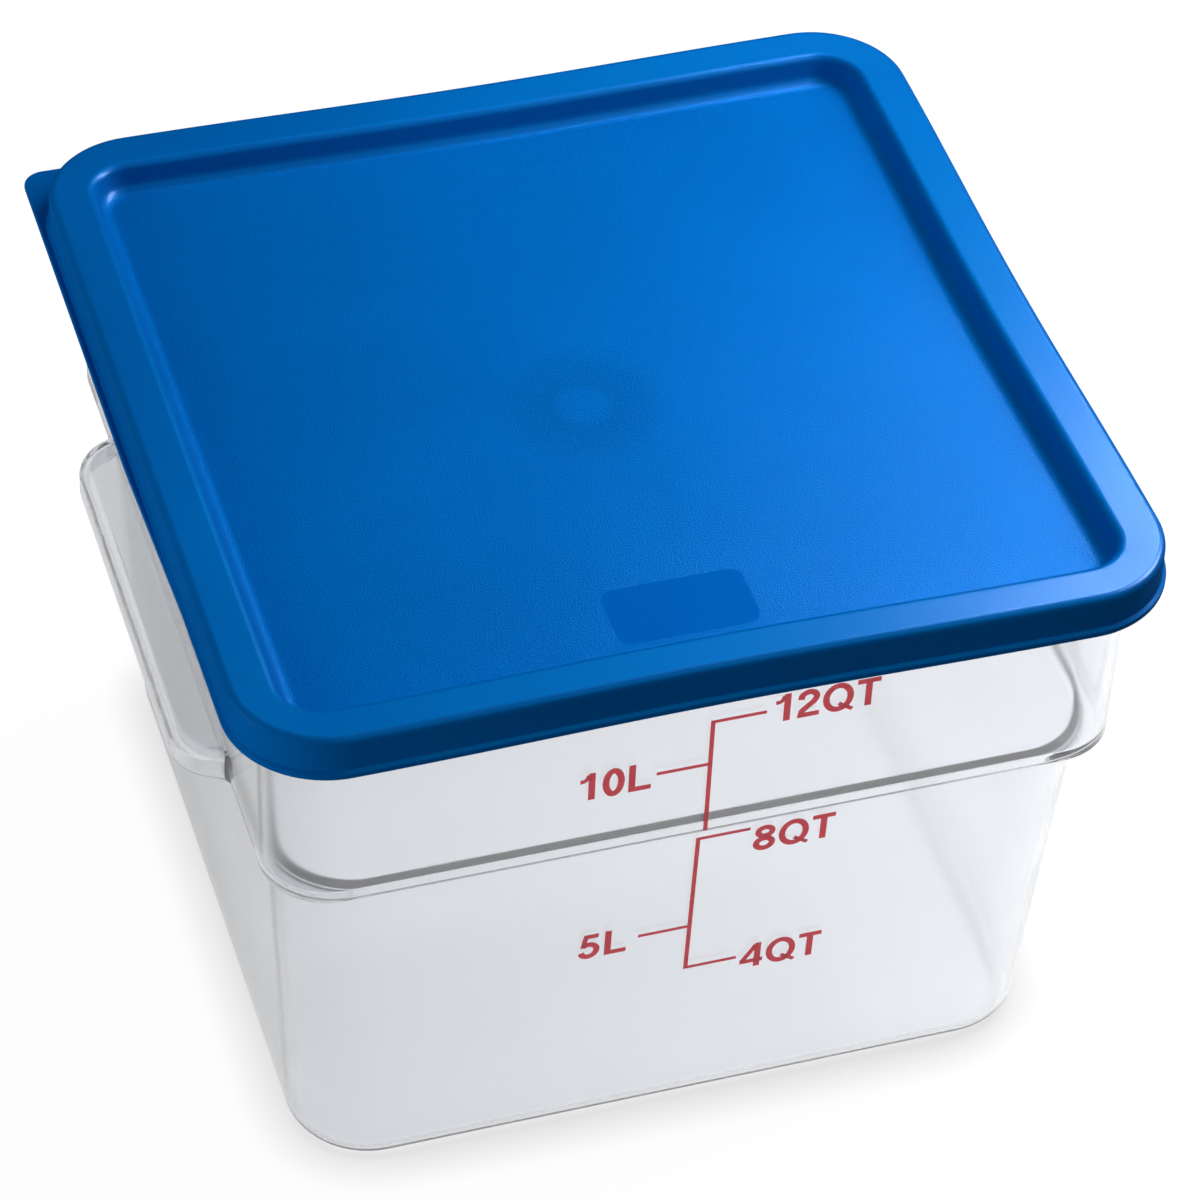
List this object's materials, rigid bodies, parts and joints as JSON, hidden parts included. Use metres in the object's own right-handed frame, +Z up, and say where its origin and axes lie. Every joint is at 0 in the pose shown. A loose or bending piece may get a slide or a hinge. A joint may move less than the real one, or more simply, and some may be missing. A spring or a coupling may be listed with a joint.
{
  "type": "food storage container",
  "caption": "Square clear food storage container with tapered walls, stacking step, moulded side grips, printed volume scale and a blue press-on lid with a recessed panel and pull tab.",
  "frame": {"origin": "middle of the base, on the surface that the container stands on", "axes": "+Z up, -Y towards the printed front, +X to the right seen from the front, grips on the two X sides"},
  "size_m": [0.2996, 0.2948, 0.2121],
  "materials": {
    "clear_polycarbonate": "clear, slightly hazy gloss",
    "blue_polyethylene": "fine satin texture",
    "red_ink": "flat screen print"
  },
  "bodies": {
    "container": {"container_body": "clear_polycarbonate", "scale_upper_bracket": "red_ink", "scale_lower_bracket": "red_ink"},
    "lid": {"lid": "blue_polyethylene"}
  },
  "joints": [
    {"name": "lid_lift", "type": "slide", "parent": "container", "child": "lid", "axis": [0, 0, 1], "range_m": [0, 0.12]}
  ]
}
